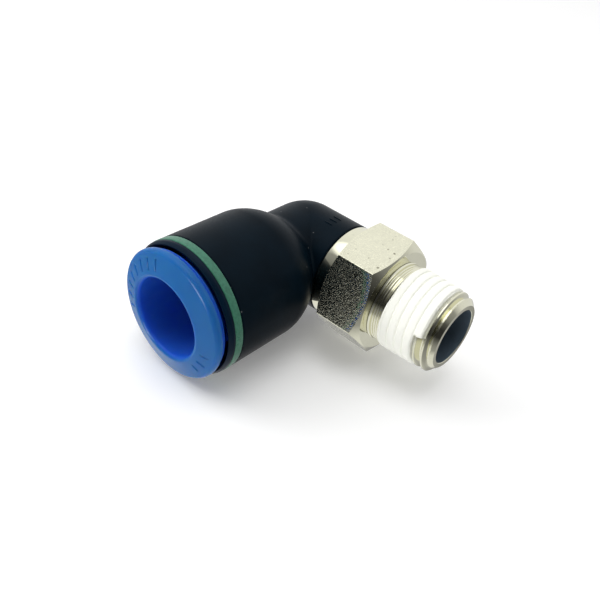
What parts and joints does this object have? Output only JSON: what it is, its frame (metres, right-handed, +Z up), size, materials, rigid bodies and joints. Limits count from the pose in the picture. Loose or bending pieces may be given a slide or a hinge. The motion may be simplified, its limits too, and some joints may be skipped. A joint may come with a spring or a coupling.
{
  "type": "push to connect elbow fitting",
  "caption": "Swivel elbow that joins a pushed-in air tube to a taper-threaded port: black body, blue release sleeve, green marker ring, plated hexagon stud with white sealant.",
  "frame": {"origin": "on the thread axis, in the face of the hexagon that the thread comes out of", "axes": "+X out of the threaded end along the thread axis, -Y out of the tube mouth along the tube axis, +Z up with the elbow lying flat; the two axes cross at x = -18.7 mm"},
  "size_m": [0.0401, 0.0389, 0.0208],
  "materials": {
    "black_resin": "satin moulded black",
    "black_resin_cap": "satin moulded black",
    "green_ring": "satin green",
    "blue_acetal": "smooth moulded blue",
    "brass_ring": "turned",
    "claw_steel": "stamped stainless",
    "white_resin": "natural resin",
    "seal_rubber": "moulded rubber",
    "nickel_plate": "nickel plated brass, satin",
    "white_sealant": "dry white sealant coat",
    "o_ring_rubber": "moulded rubber",
    "clip_steel": "spring steel"
  },
  "bodies": {
    "stud": {"hex_stud": "nickel_plate", "thread_sealant": "white_sealant", "swivel_o_ring": "o_ring_rubber", "retaining_ring": "clip_steel"},
    "elbow": {"elbow_body": "black_resin", "marker_ring": "green_ring", "end_cap": "black_resin_cap", "guide_ring": "brass_ring", "claw_ring": "claw_steel", "seal_spacer": "white_resin", "tube_seal": "seal_rubber"},
    "sleeve": {"release_sleeve": "blue_acetal"}
  },
  "joints": [
    {"name": "elbow_swivel", "type": "hinge", "parent": "stud", "child": "elbow", "pos_m": [0, 0, 0], "axis": [1, 0, 0], "continuous": true},
    {"name": "sleeve_press", "type": "slide", "parent": "elbow", "child": "sleeve", "axis": [0, 1, 0], "range_m": [0, 0.0008], "stiffness_N_per_m": 2000, "springref_m": -0.0002, "deforming": ["claw_ring"]}
  ]
}
